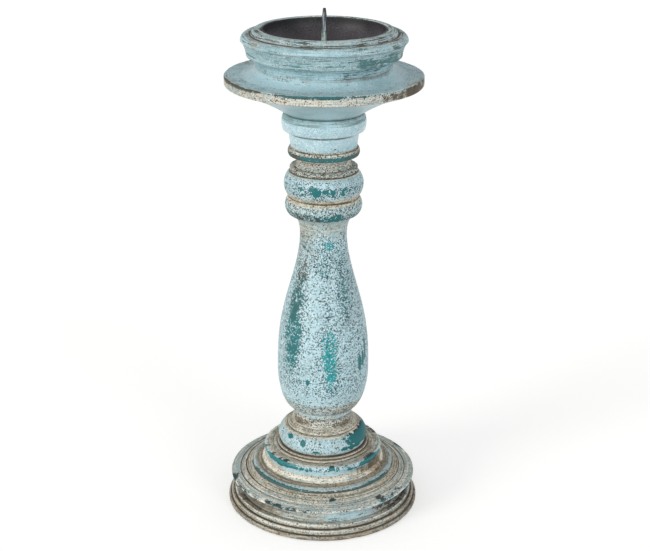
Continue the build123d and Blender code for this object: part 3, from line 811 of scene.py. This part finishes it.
def milk_paint():
    """Chalky paint in coats, each laid where the wear and the noises let it show."""
    material, tree = new_material("distressed_milk_paint")
    terms = paint_terms(tree)
    lay = partial(coat, tree, terms)

    chalky = {"other": 0.9, "patch": 1, "streak": 0.6, "wash": -0.3}
    pale, _ = lay(linear(GREY_BLUE), linear(PALE_BLUE), {"cloud": 1, "grain": 0.6}, -0.2, 0.1)
    pale, _ = lay(pale, linear(CHALK), chalky, 0.05, 0.6)
    grained = {"other": 0.6, "grain": 1.2, "brush": 1.8, "patch": 0.7}
    beige, _ = lay(linear(DARK_BEIGE), linear(BEIGE), grained, -0.45, 0.35)
    beige, _ = lay(beige, linear(WOOD), {"brush": 2.2, "cloud": 0.8, "wash": 0.7}, 0.65, 1.2)
    washed = {"wash": 1, "patch": 0.5, "brush": 0.8, "rubbed": 0.15, "grain": 0.3}
    colour, _ = lay(pale, beige, washed, 0.1, 0.9)
    dirt, _ = lay(linear(GREY_TEAL), linear(DARK_BEIGE), {"wash": 1, "patch": 0.5}, 0.15, 0.6)
    colour, _ = lay(colour, dirt, {"combed": 1, "streak": 2.5, "patch": 0.8}, 0.6, 1.65)

    bared = {"bare": 1, "patch": 0.8, "brush": 1.0, "rubbed": 0.3, "grain": 0.4}
    bare, _ = lay(linear(CREAM), linear(WOOD), {"wash": 1, "cloud": 1, "brush": 1.6}, 0.8, 1.5)
    bare, _ = lay(bare, linear(RUST), {"other": 1, "patch": 0.5}, 0.36, 0.46)
    colour, _ = lay(colour, bare, bared, 0.36, 0.74)

    specked = {"speck": 1, "wash": 0.14, "bare": -0.08, "cloud": 0.15, "patch": 0.3}
    fleck, _ = lay(linear(DEEP_TEAL), linear(GREY_TEAL), {"other": 1, "combed": 0.4}, -0.2, 0.5)
    fleck, _ = lay(fleck, linear(UMBER), {"wash": 1, "patch": 0.6}, 0.2, 0.7)
    colour, _ = lay(colour, fleck, specked, 0.46, 0.50)

    bright = {"wash": -1.2, "other": 0.7, "patch": 0.7, "grain": 0.6}
    solid, _ = lay(linear(TEAL), linear(CYAN_TEAL), bright, -0.05, 0.7)
    solid, _ = lay(solid, linear(DEEP_TEAL), {"wash": 1, "grain": 0.6}, 0.38, 0.62)
    teal, _ = lay(fleck, solid, {"teal": 1, "patch": 0.4, "combed": -0.6}, 0.42, 0.72)
    # Teal shows where the top coat is worn through, and where teal is laid as painted shade
    worn_and_shaded = {"teal": 1, "rubbed": 1, "cloud": 0.4, "patch": 0.4}
    colour, _ = lay(colour, linear(CHALK), worn_and_shaded, 0.34, 0.48)
    low, high = (
        add(
            tree, "ShaderNodeMath", {0: terms["combed"], 1: change, 2: start}, operation="MULTIPLY_ADD",
        ).outputs[0]
        for change, start in ((-0.06, 0.46), (0.12, 0.54)))
    colour, teal_share = lay(colour, teal, worn_and_shaded, low, high)

    glazed = {"glaze": 1, "grain": 0.7, "patch": 0.8, "streak": 0.6}
    colour, _ = lay(colour, linear(UMBER), glazed, 0.05, 1.0)
    colour, _ = lay(colour, linear(SOOT), glazed, 0.95, 1.8)

    height = add(
        tree, "ShaderNodeMath", {0: terms["grain"], 1: 0.6, 2: terms["streak"]}, operation="MULTIPLY_ADD",
    ).outputs[0]
    height = add(tree, "ShaderNodeMath", {0: height, 1: teal_share}, operation="SUBTRACT").outputs[0]
    uneven = add(
        tree, "ShaderNodeMapRange",
        {"Value": terms["wash"], "From Min": -0.4, "From Max": 0.2, "To Min": 0.08, "To Max": 0.5},
    ).outputs["Result"]
    bump = add(
        tree, "ShaderNodeBump", {"Height": height, "Strength": uneven, "Distance": BUMP_DEPTH},
    ).outputs["Normal"]
    dull = add(
        tree, "ShaderNodeMath", {0: terms["patch"], 1: 0.5, 2: terms["wash"]}, operation="MULTIPLY_ADD",
    ).outputs[0]
    rough = add(
        tree, "ShaderNodeMapRange",
        {"Value": dull, "From Min": -0.5, "From Max": 0.5, "To Min": 0.24, "To Max": 0.62},
    ).outputs["Result"]
    shader = add(
        tree, "ShaderNodeBsdfPrincipled",
        {"Base Color": colour, "Roughness": rough, "Normal": bump, "IOR": 1.45},
    )
    add(tree, "ShaderNodeOutputMaterial", {"Surface": shader.outputs["BSDF"]})
    return material


# Flat and pale, so that it shows form by soft shading alone, and broken up everywhere by small dark specks
paint = milk_paint()
for piece in painted.values():
    piece.data.materials.append(paint)
print(paint.name, "has", len(paint.node_tree.nodes), "nodes")

# %% [markdown]
# ## Steel, zinc and felt
# The pan is mild steel, blackened in oil and never polished: nearly black, brownish, with a dull broad sheen.
# The spike was painted with the stand, and the candles have rubbed the paint off its upper half. The screws,
# washers and nut are zinc plated, and the pad under the base is pressed wool felt.

# %% Steel, zinc and felt
STEEL_BUMP = 0.1 * MM
ROUGH_SPREAD = 0.08
# Width and length of the strokes of the file. Real strokes are finer, and are drawn wide enough to be seen
FILE_MARK = (0.7 * MM, 9 * MM)
FILED_DARK, FILED_BRIGHT = "#43454D", "#A4B0B8"
SPIKE_PAINT, SPIKE_SOOT_AND_SHADE = "#B4CEC4", "#1E1E22"


def cloudy_material(name, dark, light, cloud, grain, roughness, metallic, bump, fade=(0, 0)):
    """A finish that drifts between two colours in soft clouds, over a fine grain that also roughens it.

    With a fade, painted shade also darkens the finish from the first level to the second.
    """
    material, tree = new_material(name)
    place = add(tree, "ShaderNodeTexCoord").outputs["Object"]
    clouds, grains = (
        add(tree, "ShaderNodeTexNoise", {"Vector": place, "Scale": 1 / size, "Detail": detail}).outputs["Fac"]
        for size, detail in ((cloud, 4), (grain, 2)))
    both = add(tree, "ShaderNodeMath", {0: clouds, 1: grains}, operation="ADD").outputs[0]
    share = add(
        tree, "ShaderNodeMapRange", {"Value": both, "From Min": 0.75, "From Max": 1.25},
    ).outputs["Result"]
    if fade[1] > fade[0]:
        level = add(tree, "ShaderNodeSeparateXYZ", {"Vector": place}).outputs["Z"]
        # Painted shade, darker towards the rim of the pan
        rim_shade = add(
            tree, "ShaderNodeMapRange",
            {"Value": level, "From Min": fade[0], "From Max": fade[1], "To Min": 0.35, "To Max": -0.65},
        ).outputs["Result"]
        share = add(tree, "ShaderNodeMath", {0: share, 1: rim_shade}, operation="ADD", use_clamp=True).outputs[0]
    colour = add(
        tree, "ShaderNodeMix", {"Factor": share, 6: linear(dark), 7: linear(light)}, data_type="RGBA",
    ).outputs[2]
    rough = add(
        tree, "ShaderNodeMapRange",
        {"Value": grains, "To Min": roughness - ROUGH_SPREAD, "To Max": roughness + ROUGH_SPREAD},
    ).outputs["Result"]
    normal = add(
        tree, "ShaderNodeBump", {"Height": grains, "Strength": bump, "Distance": STEEL_BUMP},
    ).outputs["Normal"]
    shader = add(
        tree, "ShaderNodeBsdfPrincipled",
        {"Base Color": colour, "Roughness": rough, "Metallic": metallic, "Normal": normal},
    )
    add(tree, "ShaderNodeOutputMaterial", {"Surface": shader.outputs["BSDF"]})
    return material


def spike_steel():
    """Forged steel with bright file marks up its length, old paint near its foot, soot on its tip, and
    painted shade down its right side.
    """
    material, tree = new_material("filed_and_painted_steel")
    terms = {}
    for name in ("paint", "soot_and_shade"):
        terms[name] = add(tree, "ShaderNodeAttribute", attribute_name=name).outputs["Fac"]
    place = add(tree, "ShaderNodeTexCoord").outputs["Object"]
    for name, across, tall in (("grain", GRAIN, GRAIN), ("marks", *FILE_MARK)):
        scaled = add(
            tree, "ShaderNodeMapping", {"Vector": place, "Scale": (1 / across, 1 / across, 1 / tall)},
        ).outputs["Vector"]
        noise = add(tree, "ShaderNodeTexNoise", {"Vector": scaled, "Scale": 1.0}).outputs["Fac"]
        terms[name] = add(tree, "ShaderNodeMath", {0: noise, 1: 0.5}, operation="SUBTRACT").outputs[0]
    lay = partial(coat, tree, terms)
    colour, _ = lay(linear(FILED_DARK), linear(FILED_BRIGHT), {"marks": 1.0, "grain": 0.3}, 0.0, 0.25)
    colour, _ = lay(colour, linear(SPIKE_PAINT), {"paint": 1, "marks": 1.6, "grain": 0.6}, 0.3, 0.8)
    # Soot on the tip, and painted shade down the right side
    colour, _ = lay(colour, linear(SPIKE_SOOT_AND_SHADE), {"soot_and_shade": 1, "marks": 0.8, "grain": 0.5}, 0.3, 1.0)
    normal = add(tree, "ShaderNodeBump", {"Height": terms["marks"], "Strength": 0.4, "Distance": STEEL_BUMP})
    shader = add(
        tree, "ShaderNodeBsdfPrincipled",
        {"Base Color": colour, "Roughness": 0.42, "Metallic": 0.0, "Normal": normal.outputs["Normal"]},
    )
    add(tree, "ShaderNodeOutputMaterial", {"Surface": shader.outputs["BSDF"]})
    return material


PAN_SHADE_LEVELS = (313 * MM, 327 * MM)
# Nearly black and dull, with painted shade that darkens it towards the rim, so that the dish looks deep
blackened = cloudy_material(
    "oil_blackened_steel", "#1E1D21", "#565056", cloud=30 * MM, grain=0.8 * MM,
    roughness=0.55, metallic=0.0, bump=0.15, fade=PAN_SHADE_LEVELS,
)
# Thin bright and dark lines up the spike, which fade to grey green paint at its foot, and painted shade down
# its right side
worn_spike = spike_steel()
# A cool, cloudy metal with soft reflections
zinc = cloudy_material(
    "zinc_plated_steel", "#8F9496", "#B9BDBE", cloud=4 * MM, grain=0.5 * MM,
    roughness=0.38, metallic=1.0, bump=0.1,
)
# Black without any shine, with a fibrous surface
felt = cloudy_material(
    "pressed_wool_felt", "#1B1C1C", "#2C2D2C", cloud=3 * MM, grain=0.4 * MM,
    roughness=0.95, metallic=0.0, bump=0.8,
)
pan.data.materials.append(blackened)
spike.data.materials.append(worn_spike)
ZINC_NODES = (
    "plinth_screws", "stem_screw", "stem_screw_washer", "head_screw", "head_screw_washer",
    "pricket_washer", "pricket_nut",
)
for node in ZINC_NODES:
    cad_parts[node].material_slots[0].material = zinc
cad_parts["felt_pad"].material_slots[0].material = felt
print("zinc on", len(ZINC_NODES), "nodes")

# %% [markdown]
# ## Floor and light
# The stand was photographed on white under broad soft light, a little stronger from the left front. Soft
# boxes could be built from area lamps, but two suns with wide discs light every height of the stand alike.
# Both stand low, because the undersides of the beads and of the plate are nearly as bright as their tops.
# The floor is plain pale paper that keeps the stand's shadow. A Light Path node makes it a little lighter
# for the camera and in reflections only, and shows the camera a white sky, so that the background is white
# although the light on the stand is soft.

# %% Floor and light
FLOOR_HALF = 6.0
FLOOR_LIFT = 0.42
PAPER = "#E4E4E2"
SKY = 0.60
LAMP_DISC = 24


def white_floor(half):
    """One square face at level zero, wide enough to fill the picture. The camera sees it a little lighter."""
    mesh = bpy.data.meshes.new("floor")
    square = [(-half, -half, 0), (half, -half, 0), (half, half, 0), (-half, half, 0)]
    mesh.from_pydata(square, [], [(0, 1, 2, 3)])
    floor = bpy.data.objects.new("floor", mesh)
    bpy.context.scene.collection.objects.link(floor)
    material, tree = new_material("white_studio_floor")
    paper = add(tree, "ShaderNodeBsdfDiffuse", {"Color": linear(PAPER)}).outputs["BSDF"]
    lift = add(
        tree, "ShaderNodeEmission", {"Color": (1, 1, 1, 1), "Strength": FLOOR_LIFT},
    ).outputs["Emission"]
    lifted = add(tree, "ShaderNodeAddShader", {0: paper, 1: lift}).outputs["Shader"]
    ray = add(tree, "ShaderNodeLightPath").outputs
    seen = ray["Is Camera Ray"]
    for kind in ("Is Glossy Ray", "Is Transmission Ray"):
        seen = add(tree, "ShaderNodeMath", {0: seen, 1: ray[kind]}, operation="MAXIMUM").outputs[0]
    shader = add(tree, "ShaderNodeMixShader", {"Fac": seen, 1: paper, 2: lifted})
    add(tree, "ShaderNodeOutputMaterial", {"Surface": shader.outputs["Shader"]})
    mesh.materials.append(material)
    return floor


def soft_sun(name, from_left, height, strength, tint):
    """A sun with a wide disc, from_left degrees round from the front and height degrees up."""
    light = bpy.data.lights.new(name, "SUN")
    light.angle = radians(LAMP_DISC)
    light.energy = strength
    light.color = linear(tint)[:3]
    lamp = bpy.data.objects.new(name, light)
    bpy.context.scene.collection.objects.link(lamp)
    turn = Matrix.Rotation(radians(-from_left), 4, "Z")
    lamp.matrix_world = turn @ Matrix.Rotation(radians(90 - height), 4, "X")
    return lamp


scene = bpy.context.scene
floor = white_floor(FLOOR_HALF)
lamps = (
    soft_sun("key_left", from_left=54, height=14, strength=1.74, tint="#FFFDFA"),
    soft_sun("fill_right", from_left=-36, height=11, strength=1.00, tint="#F6FAFF"),
)
world = bpy.data.worlds.new("even_white_sky")
world.use_nodes = True
world.node_tree.nodes.clear()
seen = add(world.node_tree, "ShaderNodeLightPath").outputs["Is Camera Ray"]
strength = add(
    world.node_tree, "ShaderNodeMath", {0: seen, 1: 1 - SKY, 2: SKY}, operation="MULTIPLY_ADD",
).outputs[0]
sky = add(world.node_tree, "ShaderNodeBackground", {"Color": (1, 1, 1, 1), "Strength": strength})
add(world.node_tree, "ShaderNodeOutputWorld", {"Surface": sky.outputs["Background"]})
scene.world = world
scene.view_settings.view_transform = "Standard"
for lamp in lamps:
    print(f"{lamp.name}: strength {lamp.data.energy:.2f}")
print(f"{floor.name}: {floor.dimensions.x:.0f} m wide")

# %% [markdown]
# ## Camera
# The camera could be moved by eye until the picture fits. It is surer to let the stand say where it stood:
# its edges are circles, and how flat each ellipse looks in the photo tells the angle from which that edge
# was seen. They put the camera 0.86 m in front of the axis and 0.49 m up, tipped down by 21 degrees. Such a
# fit gives the focal length in pixels, and the width of the sensor turns it into millimetres.

# %% Camera
PHOTO_WIDTH = 650
SENSOR_WIDTH = 36
FOCAL_PIXELS = 1397.1
CAMERA_PLACE = (0, -0.8616, 0.4912)
PITCH, YAW, ROLL = 20.8755, -0.074, 0.258

lens = bpy.data.cameras.new("camera")
lens.sensor_width = SENSOR_WIDTH
lens.lens = FOCAL_PIXELS / PHOTO_WIDTH * lens.sensor_width
camera = bpy.data.objects.new("camera", lens)
scene.collection.objects.link(camera)
turn = (
    Matrix.Rotation(radians(YAW), 4, "Z")
    @ Matrix.Rotation(radians(90 - PITCH), 4, "X")
    @ Matrix.Rotation(radians(ROLL), 4, "Z")
)
camera.matrix_world = Matrix.Translation(CAMERA_PLACE) @ turn
scene.camera = camera
print(f"lens {lens.lens:.1f} mm")
